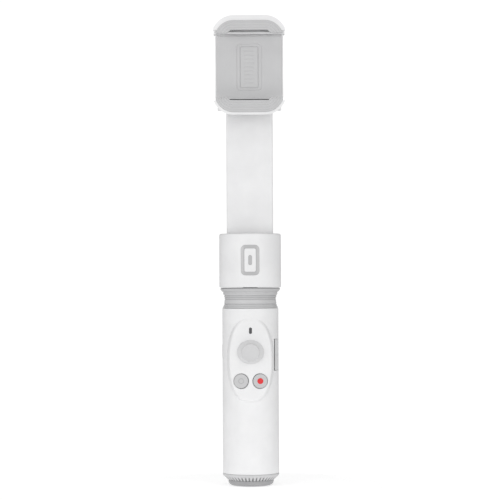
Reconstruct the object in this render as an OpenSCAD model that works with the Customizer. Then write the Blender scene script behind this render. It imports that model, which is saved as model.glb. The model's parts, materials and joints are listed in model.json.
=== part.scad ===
// Phone gimbal stabilizer, standing upright on its tripod base.
// Units mm. +Z up, front (screen and controls side) towards -Y, origin at the
// centre of the base's underside, on the tripod thread's axis.

/* [Handle] */
// outer diameter of the handle tube
handle_d = 33.6; // [33.2:0.1:34.4]
// height of the handle tube's top edge
handle_top = 106; // [106:0.1:106.05]
// wall thickness of the handle tube
handle_wall = 1.6; // [1.5:0.1:1.7]
// height of the knurled ring's top edge
base_top = 7.4; // [7.3:0.1:7.5]
// number of grooves around the knurled ring
knurl_count = 44; // [36:1:54]
// width of the control panel
panel_w = 28; // [27:0.1:28]
// height of the control panel
panel_h = 50.2; // [49:0.1:51]
// height of the control panel's centre
panel_z = 75.2; // [75:0.1:75.4]
// lean of the control panel's face, in degrees
panel_tilt = 1.4; // [1:0.1:1.6]

/* [Controls] */
// height of the joystick's axis
joystick_z = 80; // [79.5:0.1:80.4]
// height of the two round buttons
button_z = 63; // [62.8:0.1:63.2]
// distance of each round button from the middle
button_x = 5.7; // [5.5:0.1:5.9]
// height of the status light
led_z = 92.8; // [92.5:0.1:94]
// height of the zoom rocker's pivot
rocker_z = 78.2; // [77.5:0.1:79]

/* [Extension rod] */
// distance of the rod's axis behind the handle's axis
rod_y = 4.6; // [4.5:0.1:4.7]
// outer radius of the fixed rod tube
rod_r = 8.5; // [8.4:0.1:8.5]
// decrease in radius from one rod tube to the next
rod_step = 0.9; // [0.9:0.01:0.92]
// travel of each rod stage
rod_travel = 65; // [60:1:65]

/* [Head] */
// radius of the pan collar
collar_r = 18.5; // [18.4:0.1:18.6]
// height of the pan collar's top edge
collar_top = 150.5; // [150.4:0.1:151]
// distance of the fold hinge behind the handle's axis
fold_y = 15.25; // [15.25:0.01:15.4]
// height of the fold hinge
fold_z = 142; // [141.8:0.1:142.2]
// width of the arm
arm_w = 28; // [27.6:0.1:28]
// height of the roll axis
roll_z = 250; // [249.5:0.1:250.5]

/* [Phone clamp] */
// width of the clamp body
clamp_w = 40.5; // [40.4:0.1:41]
// height of the lower jaw's underside
clamp_bottom = 220.3; // [220.2:0.1:220.5]
// height of the upper jaw's top
clamp_top = 279; // [278.9:0.1:279.2]
// depth at which the jaw lips stand in front of the handle's axis
lip_y = 21.5; // [21:0.1:22]

/* [Hidden] */

handle_r = handle_d / 2;
bore_r = handle_r - handle_wall;
panel_front = 17.5;
panel_curve = 40;
panel_wall = 1.6;
joystick_y = -9.4;
skirt_r = 10.62;
rod_wall = 0.7;
rod_gap = 0.2;
slide_gap = 0.05;
rod_top = handle_top - 0.1;
neck_low = handle_top + 0.2;
neck_top = 117.6;
collar_low = 118.5;
bay_top = 129.6;
pocket_w = 28.4;
pocket_floor = 131.2;
knuckle_r = 5;
pin_r = 1.5;
arm_front = 6;
arm_back = 11.5;
arm_split = 8.7;
arm_low = 148.6;
key_axis = 168;
rocker_axis = -20;
rocker_x = 13.9;
power_z = 80;
usb_z = 58;
jaw_split = 269;
jaw_rod_x = 14.5;
spring_x = 9.5;
jaw_rod_y = -6.2;
pad_front = -9.5;
body_front = -8.3;
clamp_back = -3;

// cylinders along each axis, from one coordinate to another
module z_cyl(z0, z1, r) {
  translate([0, 0, z0]) cylinder(h = z1 - z0, r = r, $fn = 64);
}
module y_cyl(y0, y1, r) {
  translate([0, y0, 0]) rotate([-90, 0, 0]) cylinder(h = y1 - y0, r = r, $fn = 64);
}
module x_cyl(x0, x1, r) {
  translate([x0, 0, 0]) rotate([0, 90, 0]) cylinder(h = x1 - x0, r = r, $fn = 48);
}
module block(x0, x1, y0, y1, z0, z1) {
  translate([x0, y0, z0]) cube([x1 - x0, y1 - y0, z1 - z0]);
}
// a flat outline in X and Z, made solid from y0 to y1
module xz_plate(y0, y1) {
  translate([0, y1, 0]) rotate([90, 0, 0]) linear_extrude(height = y1 - y0) children();
}
// a flat outline in Y and Z, made solid from x0 to x1
module yz_plate(x0, x1) {
  translate([x0, 0, 0]) rotate([90, 0, 90]) linear_extrude(height = x1 - x0) children();
}
// points of a rectangle with round corners
function round_rect(w, h, r) = [for (q = [0 : 3]) for (a = [0 : 15 : 90])
  let(cx = (q == 0 || q == 3 ? 1 : -1) * (w / 2 - r), cy = (q < 2 ? 1 : -1) * (h / 2 - r))
  [cx + r * cos(a + 90 * q), cy + r * sin(a + 90 * q)]];

// ---- base ----
module base_cap() {
  arc = [for (a = [0 : 15 : 90]) [10.9 + 2.7 * sin(a), 2.7 - 2.7 * cos(a)]];
  color([0.5, 0.5, 0.52]) difference() {
    rotate_extrude($fn = 96) polygon(concat([[0, 0]], arc, [[13.6, 3.3], [0, 3.3]]));
    z_cyl(-1, 4, 5.05);
    for (i = [0 : 2]) rotate([0, 0, 90 + 120 * i]) translate([9, 0, 0]) {
      z_cyl(-1, 1.4, 1.75);
      z_cyl(-1, 4, 0.9);
    }
  }
}
module base_ring() {
  color([0.72, 0.72, 0.73]) difference() {
    rotate_extrude($fn = 96) polygon([
      [5.05, 3.4], [13.9, 3.4], [handle_r, 6.1], [handle_r, base_top - 0.1], [bore_r - 0.1, base_top - 0.1],
      [bore_r - 0.1, 11], [bore_r - 1.3, 11], [bore_r - 1.3, base_top - 0.1], [5.05, base_top - 0.1]
    ]);
    for (i = [0 : knurl_count - 1]) rotate([0, 0, 360 / knurl_count * i])
      translate([15.4, 0, 4.7]) rotate([0, 47, 0]) cylinder(h = 3.3, r = 0.5, center = true, $fn = 4);
    for (i = [0 : 2]) rotate([0, 0, 90 + 120 * i]) translate([9, 0, 0]) z_cyl(3, 8, 0.82);
  }
}
module tripod_insert() {
  color([0.78, 0.65, 0.35]) difference() {
    z_cyl(0, base_top - 0.2, 5);
    z_cyl(-1, 6.2, 2.6);
  }
}
module base_screws() {
  color([0.6, 0.6, 0.62]) for (i = [0 : 2]) rotate([0, 0, 90 + 120 * i]) translate([9, 0, 0])
    difference() {
      union() {
        z_cyl(0.3, 1.35, 1.65);
        z_cyl(1, 6.9, 0.8);
      }
      block(-1.3, 1.3, -0.2, 0.2, 0, 0.7);
      block(-0.2, 0.2, -1.3, 1.3, 0, 0.7);
    }
}

// ---- handle ----
function panel_points(grow) = [for (a = [0 : 6 : 354])
  let(c = cos(a), s = sin(a), n = 2 / 2.4)
  [(panel_w / 2 + grow) * sign(c) * pow(abs(c), n), (panel_h / 2 + grow) * sign(s) * pow(abs(s), n)]];
module panel_prism(grow, y0, y1) {
  translate([0, 0, panel_z]) xz_plate(y0, y1) polygon(panel_points(grow));
}
module panel_curve_solid(inset) {
  translate([0, panel_curve - panel_front, panel_z]) rotate([-panel_tilt, 0, 0])
    cylinder(h = 90, r = panel_curve - inset, center = true, $fn = 96);
}
module handle_tube() {
  color([0.95, 0.95, 0.95]) difference() {
    z_cyl(base_top, handle_top, handle_r);
    z_cyl(0, 120, bore_r);
    panel_prism(0.05, -30, -2);
    intersection() {
      rotate([0, 0, rocker_axis]) block(12, 20, -6, 2.15, rocker_z - 9.5, rocker_z + 9.5);
      block(14.04, 20, -12, 0, 60, 100);
    }
    rotate([0, 0, key_axis]) translate([12, 0, power_z]) yz_plate(0, 8) polygon(round_rect(4.3, 10.3, 2));
    rotate([0, 0, key_axis]) translate([12, 0, usb_z]) yz_plate(0, 8) polygon(round_rect(3.5, 9.3, 1.6));
  }
}
module control_panel() {
  color([0.97, 0.97, 0.97]) difference() {
    intersection() {
      panel_prism(0, -20, -2);
      panel_curve_solid(0);
    }
    intersection() {
      panel_prism(-panel_wall, -20, -2);
      panel_curve_solid(panel_wall);
    }
    z_cyl(0, 120, bore_r);
    translate([0, joystick_y, joystick_z]) sphere(r = skirt_r + 0.22, $fn = 96);
    for (s = [-1, 1]) translate([s * button_x, 0, button_z]) y_cyl(-20, -10, 4.45);
    translate([0, 0, led_z]) xz_plate(-20, -10) polygon(round_rect(1.76, 3.86, 0.86));
  }
}
module led_window() {
  color([0.12, 0.12, 0.13]) translate([0, 0, led_z]) xz_plate(-17, -15.3) polygon(round_rect(1.7, 3.8, 0.84));
}
module handle_top_cap() {
  color([0.75, 0.75, 0.76]) difference() {
    z_cyl(102, rod_top, bore_r - 0.05);
    translate([0, rod_y, 0]) z_cyl(100, 110, rod_r + 0.03);
  }
}

// ---- extension rod ----
// one rod tube: a long glide at its foot and a turned-in rim at its top
module rod_tube(i, z0, z1, rim) {
  ro = rod_r - rod_step * i;
  ri = ro - rod_wall;
  translate([0, rod_y, 0]) difference() {
    union() {
      z_cyl(z0, z1, ro);
      if (i > 0) z_cyl(z0, rod_top - 2 - rod_travel - 0.2, ro + rod_gap - slide_gap);
    }
    z_cyl(z0 - 1, z1 - (rim ? 2 : -1), ri);
    if (rim) z_cyl(z0, z1 + 1, ro - rod_step + slide_gap);
  }
}
module rod_outer_tube() {
  color([0.8, 0.8, 0.82]) rod_tube(0, base_top, rod_top, true);
}
module rod_stage_1() {
  color([0.84, 0.84, 0.86]) rod_tube(1, 14, rod_top, true);
}
module rod_stage_2() {
  color([0.84, 0.84, 0.86]) rod_tube(2, 15, rod_top, true);
}
module rod_stage_3() {
  color([0.84, 0.84, 0.86]) rod_tube(3, 16, rod_top, true);
}
module rod_stage_4() {
  color([0.84, 0.84, 0.86]) rod_tube(4, 17, 113.4, false);
}

// ---- inside the handle ----
module battery_pack() {
  color([0.25, 0.3, 0.36]) union() {
    block(-9.4, 9.4, -11.6, -4.9, 11.4, 45);
    block(-6, 6, -9.8, -6.2, 45, 47);
  }
}
module main_board() {
  color([0.1, 0.35, 0.2]) union() {
    block(-10.5, 10.5, -5.5, -4.5, 50, 101);
    block(-9, -4, -6.6, -5.5, 52, 57);
    block(3, 7, -6.4, -5.5, 52, 56);
    block(-2, 2, -6.8, -5.5, 95, 99);
  }
}
module key_switches() {
  color([0.2, 0.2, 0.2]) union() {
    for (s = [-1, 1]) translate([s * button_x, 0, button_z]) {
      block(-2.5, 2.5, -7, -5.6, -2.5, 2.5);
      y_cyl(-7.6, -6.9, 0.9);
    }
    rotate([0, 0, key_axis]) translate([0, 0, power_z]) {
      block(9.3, 10.6, -2, 2, -2.5, 2.5);
      x_cyl(10.5, 10.9, 0.9);
    }
    rotate([0, 0, rocker_axis]) for (s = [-1, 1]) translate([0, 0, rocker_z + s * 6.5]) {
      block(9.6, 11, -0.6, 1.9, -1.8, 1.8);
      translate([0, 0.6, 0]) x_cyl(10.9, 11.6, 0.8);
    }
  }
}
module joystick_base() {
  color([0.3, 0.3, 0.31]) translate([0, joystick_y, joystick_z]) difference() {
    block(-7, 7, -1.6, 3.8, -7, 7);
    block(-5.5, 5.5, -3, 2.4, -5.5, 5.5);
    x_cyl(-6.8, 6.8, 0.75);
  }
}
module usb_socket() {
  color([0.7, 0.7, 0.72]) rotate([0, 0, key_axis]) translate([0, 0, usb_z]) {
    difference() {
      yz_plate(9.4, 16.3) polygon(round_rect(3.2, 9, 1.5));
      yz_plate(10.4, 18) polygon(round_rect(2.6, 8.4, 1.2));
    }
    block(10.3, 15.2, -0.35, 0.35, -3.3, 3.3);
  }
}
module rocker_pivot() {
  color([0.7, 0.7, 0.72]) rotate([0, 0, rocker_axis]) translate([rocker_x, 0, rocker_z]) {
    y_cyl(-2.7, 2.7, 0.8);
    for (s = [-1, 1]) translate([0, s * 2.5, 0]) block(-1.6, 0.5, -0.3, 0.3, -2, 2);
  }
}
module zoom_rocker() {
  color([0.72, 0.72, 0.73]) difference() {
    union() {
      rotate([0, 0, rocker_axis]) block(12.6, 14.55, -1.9, 1.9, rocker_z - 9.2, rocker_z + 9.2);
      rotate([0, 0, rocker_axis]) block(14.5, 15.05, -0.2, 1.9, rocker_z - 9.2, rocker_z + 9.2);
      intersection() {
        rotate([0, 0, rocker_axis]) block(14.9, 18, -5, 1.9, rocker_z - 9.2, rocker_z + 9.2);
        block(14.5, 18, -12, 0, 60, 100);
        z_cyl(60, 100, handle_r + 0.1);
      }
    }
    rotate([0, 0, rocker_axis]) translate([rocker_x, 0, rocker_z]) y_cyl(-5, 5, 0.87);
    rotate([0, 0, rocker_axis]) translate([handle_r + 0.1, 0, rocker_z])
      block(-0.25, 1, -6, 3, -0.4, 0.4);
  }
}
module power_button() {
  color([0.66, 0.66, 0.67]) rotate([0, 0, key_axis]) translate([0, 0, power_z]) union() {
    yz_plate(14, handle_r + 0.1) polygon(round_rect(4, 10, 1.9));
    block(13.2, 14.05, -2.6, 2.6, -5.7, 5.7);
    x_cyl(11.6, 13.3, 1.4);
  }
}

// ---- round buttons ----
module round_button() {
  y_cyl(-17.55, -14.4, 4.15);
  y_cyl(-14.5, -13.8, 4.95);
  y_cyl(-14, -8.5, 1.5);
}
module mode_button() {
  color([0.78, 0.78, 0.79]) translate([-button_x, 0, button_z]) difference() {
    round_button();
    xz_plate(-18, -17.3) difference() {
      circle(r = 1.75, $fn = 48);
      circle(r = 1.15, $fn = 48);
    }
  }
}
module mode_symbol() {
  color([0.55, 0.55, 0.56]) translate([-button_x, 0, button_z]) xz_plate(-17.55, -17.32) difference() {
    circle(r = 1.72, $fn = 48);
    circle(r = 1.18, $fn = 48);
  }
}
module record_button() {
  color([0.78, 0.78, 0.79]) translate([button_x, 0, button_z]) difference() {
    round_button();
    y_cyl(-18, -17.1, 1.78);
  }
}
module record_dot() {
  color([0.85, 0.05, 0.08]) translate([button_x, 0, button_z]) y_cyl(-17.6, -17.12, 1.75);
}

// ---- joystick ----
module joystick_yoke() {
  color([0.75, 0.75, 0.77]) translate([0, joystick_y, joystick_z]) difference() {
    union() {
      block(-4.2, 4.2, -0.9, 0.9, -4.2, 4.2);
      x_cyl(-6.6, 6.6, 0.7);
    }
    block(-2.5, 2.5, -2, 2, -2.5, 2.5);
    z_cyl(-6, 6, 0.65);
  }
}
module joystick_stem() {
  color([0.5, 0.5, 0.52]) translate([0, joystick_y, joystick_z]) union() {
    y_cyl(-12.6, 1.4, 1.5);
    z_cyl(-4, 4, 0.6);
  }
}
module joystick_skirt() {
  color([0.76, 0.76, 0.77]) translate([0, joystick_y, joystick_z]) difference() {
    sphere(r = skirt_r, $fn = 96);
    sphere(r = skirt_r - 1, $fn = 96);
    block(-12, 12, -5, 12, -12, 12);
    y_cyl(-13, 0, 1.55);
  }
}
module joystick_cap() {
  color([0.78, 0.78, 0.79]) translate([0, joystick_y, joystick_z]) difference() {
    union() {
      y_cyl(-11.9, -10.95, 3);
      y_cyl(-13.6, -11.8, 5.4);
    }
    translate([0, -27.2, 0]) sphere(r = 14.4, $fn = 96);
    y_cyl(-12.7, -9, 1.52);
  }
}

// ---- neck ----
// waisted profile, with fine grooves between the plain bands: each has its height, half width and depth
grooves = [[115.5, 0.7, 0.3], [113.5, 0.3, 0.2], [112.45, 0.3, 0.2], [111.35, 0.3, 0.2], [108.4, 0.3, 0.2],
  [107.4, 0.3, 0.15]];
function waist(z) = z < 111 ? 15.45 + 0.05 * pow(z - 111, 2) : 15.45 + 0.061 * pow(z - 111, 2);
function groove(z) = max([for (g = grooves) g[2] * max(0, 1 - abs(z - g[0]) / g[1])]);
module neck_sleeve() {
  steps = 76;
  color([0.7, 0.7, 0.71]) rotate_extrude($fn = 96) polygon(concat(
    [[12.7, neck_top], [12.7, neck_low]],
    [for (i = [0 : steps]) let(z = neck_low + (neck_top - neck_low) * i / steps) [waist(z) - groove(z), z]]
  ));
}
module neck_core() {
  color([0.35, 0.35, 0.36]) difference() {
    union() {
      z_cyl(neck_low, neck_top + 0.1, 12.65);
      z_cyl(117.4, 127.2, 4.4);
      z_cyl(neck_top, 118.2, 17.6);
    }
    translate([0, rod_y, 0]) z_cyl(100, 113.5, rod_r - 4 * rod_step + 0.02);
    z_cyl(115, 130, 3.02);
  }
}
// wound poles of a small flat motor
module motor_poles(z0, z1) {
  difference() {
    z_cyl(z0, z1, 6);
    z_cyl(z0 - 1, z1 + 1, 4.45);
  }
  for (i = [0 : 8]) rotate([0, 0, 40 * i]) {
    block(5.5, 10.2, -0.8, 0.8, z0 + 1, z1 - 1);
    block(6.4, 9.4, -1.5, 1.5, z0, z1);
  }
}
module motor_bell(z0, z1, closed) {
  difference() {
    z_cyl(z0, z1, 12.5);
    z_cyl(z0 - 1, z1 - closed, 10.9);
    z_cyl(z0, z1 + 2, 1.52);
  }
}
module ball_ring(z0, z1) {
  difference() {
    z_cyl(z0, z1, 3);
    z_cyl(z0 - 1, z1 + 1, 1.55);
  }
}
module pan_coils() {
  color([0.72, 0.42, 0.22]) motor_poles(119.6, 126.4);
}
module pan_bearing() {
  color([0.75, 0.75, 0.77]) {
    ball_ring(115.2, 117.8);
    ball_ring(124.4, 127);
  }
}

// ---- pan collar ----
module emblem(grow) {
  difference() {
    polygon(round_rect(11 + 2 * grow, 18 + 2 * grow, 2.6 + grow));
    polygon(round_rect(6.8 - 2 * grow, 13.8 - 2 * grow, 1.1 - grow));
  }
  polygon(round_rect(2.2 + 2 * grow, 6 + 2 * grow, 1.08 + grow));
}
module collar_shell() {
  arc = [for (a = [0 : 15 : 90]) [collar_r - 1 + cos(a), collar_top - 1 + sin(a)]];
  color([0.95, 0.95, 0.95]) difference() {
    rotate_extrude($fn = 96) polygon(concat(
      [[0, collar_low], [collar_r - 0.4, collar_low], [collar_r, collar_low + 0.4]], arc, [[0, collar_top]]
    ));
    z_cyl(100, bay_top, collar_r - 1.5);
    intersection() {
      z_cyl(bay_top - 1, collar_top - 1.7, collar_r - 1.5);
      block(-30, 30, -30, 2.2, 100, 200);
    }
    block(-pocket_w / 2, pocket_w / 2, 3.8, 30, pocket_floor, 200);
    intersection() {
      translate([0, 0, 134.6]) xz_plate(-20, 0) emblem(0.03);
      difference() {
        z_cyl(120, 150, 30);
        z_cyl(119, 151, collar_r - 0.5);
      }
    }
  }
}
module collar_emblem() {
  color([0.62, 0.62, 0.63]) intersection() {
    translate([0, 0, 134.6]) xz_plate(-20, 0) emblem(0);
    difference() {
      z_cyl(120, 150, collar_r);
      z_cyl(119, 151, collar_r - 0.48);
    }
  }
}
module collar_board() {
  color([0.1, 0.35, 0.2]) union() {
    block(-9, 9, -6, -5, 131, 147);
    block(-3, 3, -7, -6, 136, 142);
    block(-7, -4.5, -6.8, -6, 137, 141);
  }
}
module pan_rotor() {
  color([0.6, 0.6, 0.62]) motor_bell(119.3, bay_top - 0.02, 1.3);
}
module pan_shaft() {
  color([0.78, 0.78, 0.8]) z_cyl(115.3, bay_top - 0.1, 1.5);
}
module hinge_bracket() {
  color([0.6, 0.6, 0.62]) difference() {
    union() {
      block(-9, 9, 6, 15.5, pocket_floor, pocket_floor + 1.5);
      translate([0, fold_y, fold_z]) x_cyl(-6, 6, knuckle_r);
      yz_plate(-6, 6) polygon([
        [10.25, pocket_floor], [16.4, pocket_floor], [18.5, 136.5], [18.5, fold_z], [10.25, fold_z]
      ]);
    }
    translate([0, fold_y, fold_z]) x_cyl(-7, 7, pin_r + 0.02);
  }
}
module hinge_pin() {
  color([0.78, 0.78, 0.8]) translate([0, fold_y, fold_z]) x_cyl(-13.6, 13.6, pin_r);
}

// ---- arm ----
module arm_outline(inset, low) {
  w = arm_w / 2 - inset;
  polygon(concat([[-w, low], [w, low]], [for (a = [0 : 7.5 : 180]) [w * cos(a), roll_z + w * sin(a)]]));
}
// half of the arm between y0 and y1, its outer long edges bevelled by b
module arm_half(y0, y1, b_front, b_back) {
  w = arm_w / 2;
  intersection() {
    linear_extrude(height = 300) polygon([
      [-w + b_front, y0], [w - b_front, y0], [w, y0 + b_front], [w, y1 - b_back],
      [w - b_back, y1], [-w + b_back, y1], [-w, y1 - b_back], [-w, y0 + b_front]
    ]);
    xz_plate(y0, y1) arm_outline(0, arm_low);
  }
}
module screw_places() {
  for (s = [-1, 1]) for (z = [160, 228]) translate([s * 10, 0, z]) children();
}
module arm_front_shell() {
  color([0.95, 0.95, 0.95]) difference() {
    arm_half(arm_front, arm_split, 0.7, 0.01);
    xz_plate(7.3, 10) arm_outline(1.5, 100);
    translate([0, 0, roll_z]) y_cyl(5, 8, 3);
  }
}
module arm_back_shell() {
  color([0.95, 0.95, 0.95]) difference() {
    arm_half(arm_split + 0.05, arm_back, 0.01, 0.7);
    xz_plate(8, 10.2) arm_outline(1.5, 100);
    screw_places() y_cyl(8, 12, 1.5);
  }
}
module arm_spine() {
  color([0.7, 0.7, 0.72]) difference() {
    union() {
      block(-12.2, 12.2, 8, 9.6, 150.6, 236);
      for (s = [-1, 1]) {
        translate([s > 0 ? 6.3 : -12.2, 0, 0]) block(0, 5.9, 7.4, 10.1, 147, 152);
        translate([s > 0 ? 0 : -20.1, 0, 0]) {
          translate([0, fold_y, fold_z]) x_cyl(6.3, 13.8, knuckle_r);
          yz_plate(6.3, 13.8) polygon([
            [6, arm_low - 0.1], [6, 147], [11.71, 138.46],
            [fold_y, fold_z], [16.96, 146.7], [arm_back, arm_low - 0.1]
          ]);
        }
      }
    }
    translate([0, fold_y, fold_z]) x_cyl(-15, 15, pin_r + 0.06);
    screw_places() y_cyl(7, 10, 0.82);
  }
}
module arm_flat_cable() {
  color([0.75, 0.5, 0.2]) block(-4, 4, 7.45, 7.65, 151, 246);
}
module arm_screws() {
  color([0.6, 0.6, 0.62]) screw_places() difference() {
    union() {
      y_cyl(9.65, 11.3, 1.45);
      y_cyl(7.9, 9.8, 0.8);
    }
    block(-1, 1, 10.9, 12, -0.18, 0.18);
    block(-0.18, 0.18, 10.9, 12, -1, 1);
  }
}
module roll_axis() {
  translate([0, 0, roll_z]) rotate([90, 0, 0]) children();
}
module roll_housing() {
  color([0.92, 0.92, 0.92]) roll_axis() difference() {
    union() {
      z_cyl(-5.95, 2.4, 15);
    }
    difference() {
      z_cyl(-4.6, 5, 13.6);
      z_cyl(-6, 0.8, 4.4);
    }
    z_cyl(-4.5, 5, 3.02);
  }
}
module roll_coils() {
  color([0.72, 0.42, 0.22]) roll_axis() motor_poles(-4, 0.4);
}
module roll_bearing() {
  color([0.75, 0.75, 0.77]) roll_axis() {
    ball_ring(-4.4, -2.4);
    ball_ring(-1.4, 0.6);
  }
}

// ---- phone clamp ----
// half of a jaw's edge seen from the front: an arc of radius r about (x_c, 0), up to the middle
function half_edge(x_c, r, a_end) = [for (i = [0 : 8]) let(a = a_end + (90 - a_end) * i / 8)
  [x_c + r * cos(a), r * sin(a)]];
// the whole edge, from one side's end to the other's, at height z_c and upwards (1) or downwards (-1)
function jaw_edge(x_c, z_c, r, a_end, up) = let(h = half_edge(x_c, r, a_end)) concat(
  [for (p = h) [up * p[0], z_c + up * p[1]]],
  [for (i = [8 : -1 : 0]) [-up * h[i][0], z_c + up * h[i][1]]]);
function upper_edge(x_end) = jaw_edge(9, clamp_top - 13.4, 13.4, acos((x_end - 9) / 13.4), 1);
function lower_edge(d, x_end) =
  jaw_edge(9.3, clamp_bottom + 12.5, 12.5 - d, acos((x_end - 9.3) / (12.5 - d)), -1);
function upper_pad_edge(d, a_end) = jaw_edge(9.3, clamp_top - 14, 11 - d, a_end, 1);
lip_end = 9.3 + 11 * cos(17);
lip_low = clamp_top - 14 + 11 * sin(17);

module clamp_body() {
  color([0.93, 0.93, 0.93]) difference() {
    union() {
      block(-clamp_w / 2, clamp_w / 2, body_front, clamp_back, 227, jaw_split - 0.1);
      xz_plate(-lip_y, clamp_back) polygon(concat([[-21, 228.6]], lower_edge(0, 21), [[21, 228.6]]));
    }
    block(-30, 30, -lip_y + 2.2, pad_front + 0.02, 225.2, 300);
    block(-30, 30, pad_front, body_front, 226.6, 300);
    block(-19.05, 19.05, -4.25, 0, 223.95, 267.05);
    for (s = [-1, 1]) {
      translate([s * jaw_rod_x, jaw_rod_y, 0]) z_cyl(223.2, 300, 1.56);
      translate([s * spring_x, jaw_rod_y, 0]) z_cyl(226.8, 300, 1.75);
    }
  }
}
module clamp_cover() {
  color([0.93, 0.93, 0.93]) block(-19, 19, -4.2, clamp_back, 224, 267);
}
module pad_frame(w, h, r) {
  difference() {
    polygon(round_rect(w, h, r));
    polygon(round_rect(w - 0.7, h - 0.7, r - 0.35));
  }
}
module clamp_pad() {
  color([0.77, 0.77, 0.78]) difference() {
    block(-19.6, 19.6, pad_front, body_front - 0.02, 226.7, 268.3);
    block(-12.5, 12.5, pad_front - 1, body_front, 226, 230.5);
    translate([0, 0, 249.5]) xz_plate(-11, pad_front + 0.2) {
      pad_frame(15, 28.2, 2.4);
      pad_frame(11, 24.9, 0.9);
    }
    for (i = [-4 : 4]) translate([0, 0, 249.5 + 2.4 * i]) block(-2.9, 2.9, -11, pad_front + 0.15, -0.6, 0.6);
  }
}
// dark strip under the pad, where the phone's edge comes to rest
module pad_foot() {
  color([0.1, 0.1, 0.1]) block(-12.4, 12.4, pad_front + 0.6, body_front - 0.02, 226.7, 230.4);
}
// outline of one groove on the lower lip pad, drawn in by d and closed at height z
function ridge_edge(d, z) = let(x = 9.3 + (12.5 - d) * 0.98) concat(lower_edge(d, x), [[x, z], [-x, z]]);
// concentric grooves leave ridges on the lip pads
module lower_lip_pad() {
  color([0.77, 0.77, 0.78]) difference() {
    union() {
      xz_plate(-lip_y - 0.7, -lip_y) polygon(concat(
        [[-lip_end, 230.9]], lower_edge(1.5, lip_end), [[lip_end, 230.9]],
        [[13.4, 230.9], [11.3, 228.9], [-11.3, 228.9], [-13.4, 230.9]]));
      for (s = [-1, 1]) xz_plate(-lip_y - 0.1, -lip_y + 2.2)
        polygon([[s * lip_end, 228.65], [s * lip_end, 230.9], [s * 13.4, 230.9], [s * 11.2, 228.65]]);
    }
    for (d = [3.3, 5, 6.7]) intersection() {
      xz_plate(-lip_y - 1, -lip_y - 0.45) difference() {
        polygon(ridge_edge(d, 233));
        polygon(ridge_edge(d + 0.4, 234));
      }
      block(-19.6, 19.6, -30, 0, 200, 230.6);
    }
  }
}
// the pad covers the lip's front and wraps under it on both sides of the notch
module upper_lip_pad() {
  color([0.77, 0.77, 0.78]) difference() {
    union() {
      xz_plate(-lip_y - 0.7, -lip_y) polygon(concat(
        upper_pad_edge(0, 17),
        [[-13.3, lip_low], [-10.9, 270.2], [10.9, 270.2], [13.3, lip_low]]));
      for (s = [-1, 1]) xz_plate(-lip_y - 0.1, -lip_y + 2.2)
        polygon([[s * lip_end, lip_low], [s * lip_end, 269.95], [s * 11.2, 269.95], [s * 13.3, lip_low]]);
    }
    for (d = [1.6, 3.2, 4.8]) intersection() {
      xz_plate(-lip_y - 1, -lip_y - 0.45) difference() {
        polygon(upper_pad_edge(d, 8));
        polygon(concat(upper_pad_edge(d + 0.4, 8), [[0, 250]]));
      }
      block(-19.2, 19.2, -30, 0, 268.7, 300);
    }
  }
}
module jaw_springs() {
  color([0.7, 0.7, 0.72]) for (s = [-1, 1]) translate([s * spring_x, jaw_rod_y, 227])
    linear_extrude(height = 41.8, twist = -360 * 12, slices = 96) translate([1.1, 0])
    circle(r = 0.3, $fn = 6);
}
module roll_rotor() {
  color([0.6, 0.6, 0.62]) roll_axis() {
    motor_bell(-3.8, 2.2, 1);
    difference() {
      z_cyl(2.1, 2.98, 6);
      z_cyl(0, 4, 1.52);
    }
  }
}
module roll_shaft() {
  color([0.78, 0.78, 0.8]) roll_axis() z_cyl(-4.3, 2.9, 1.5);
}
module upper_jaw() {
  color([0.93, 0.93, 0.93]) difference() {
    union() {
      xz_plate(-lip_y + 1, -5) polygon(upper_edge(17.9));
      xz_plate(pad_front, clamp_back) polygon(concat(
        [[21.1, jaw_split + 0.1]], upper_edge(21.1), [[-21.1, jaw_split + 0.1]]));
      xz_plate(-lip_y, -lip_y + 2.2) polygon(concat([[21.1, 270]], upper_edge(21.1), [[-21.1, 270]]));
    }
    xz_plate(-lip_y - 1, -lip_y + 3) polygon([[-11.9, 269], [11.9, 269], [10.7, 270.6], [-10.7, 270.6]]);
    block(-12.4, 12.4, pad_front - 1, -4.4, 269, 273.6);
    for (s = [-1, 1]) translate([s * jaw_rod_x, jaw_rod_y, 0]) z_cyl(260, 274, 1.52);
  }
}
module guide_rods() {
  color([0.78, 0.78, 0.8]) for (s = [-1, 1]) translate([s * jaw_rod_x, jaw_rod_y, 0])
    z_cyl(224.5, 273.9, 1.5);
}

base_cap();
base_ring();
tripod_insert();
base_screws();
handle_tube();
control_panel();
led_window();
handle_top_cap();
rod_outer_tube();
battery_pack();
main_board();
key_switches();
joystick_base();
usb_socket();
rocker_pivot();
zoom_rocker();
power_button();
mode_button();
mode_symbol();
record_button();
record_dot();
joystick_yoke();
joystick_stem();
joystick_skirt();
joystick_cap();
rod_stage_1();
rod_stage_2();
rod_stage_3();
rod_stage_4();
neck_core();
neck_sleeve();
pan_coils();
pan_bearing();
collar_shell();
collar_emblem();
collar_board();
pan_rotor();
pan_shaft();
hinge_bracket();
hinge_pin();
arm_front_shell();
arm_back_shell();
arm_spine();
arm_flat_cable();
arm_screws();
roll_housing();
roll_coils();
roll_bearing();
roll_rotor();
roll_shaft();
clamp_body();
clamp_cover();
clamp_pad();
pad_foot();
lower_lip_pad();
jaw_springs();
upper_jaw();
upper_lip_pad();
guide_rods();
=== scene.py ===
"""Looks of the phone gimbal stabilizer: millimetres in the shapes, metres in the materials and stage."""
import json
import math

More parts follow.
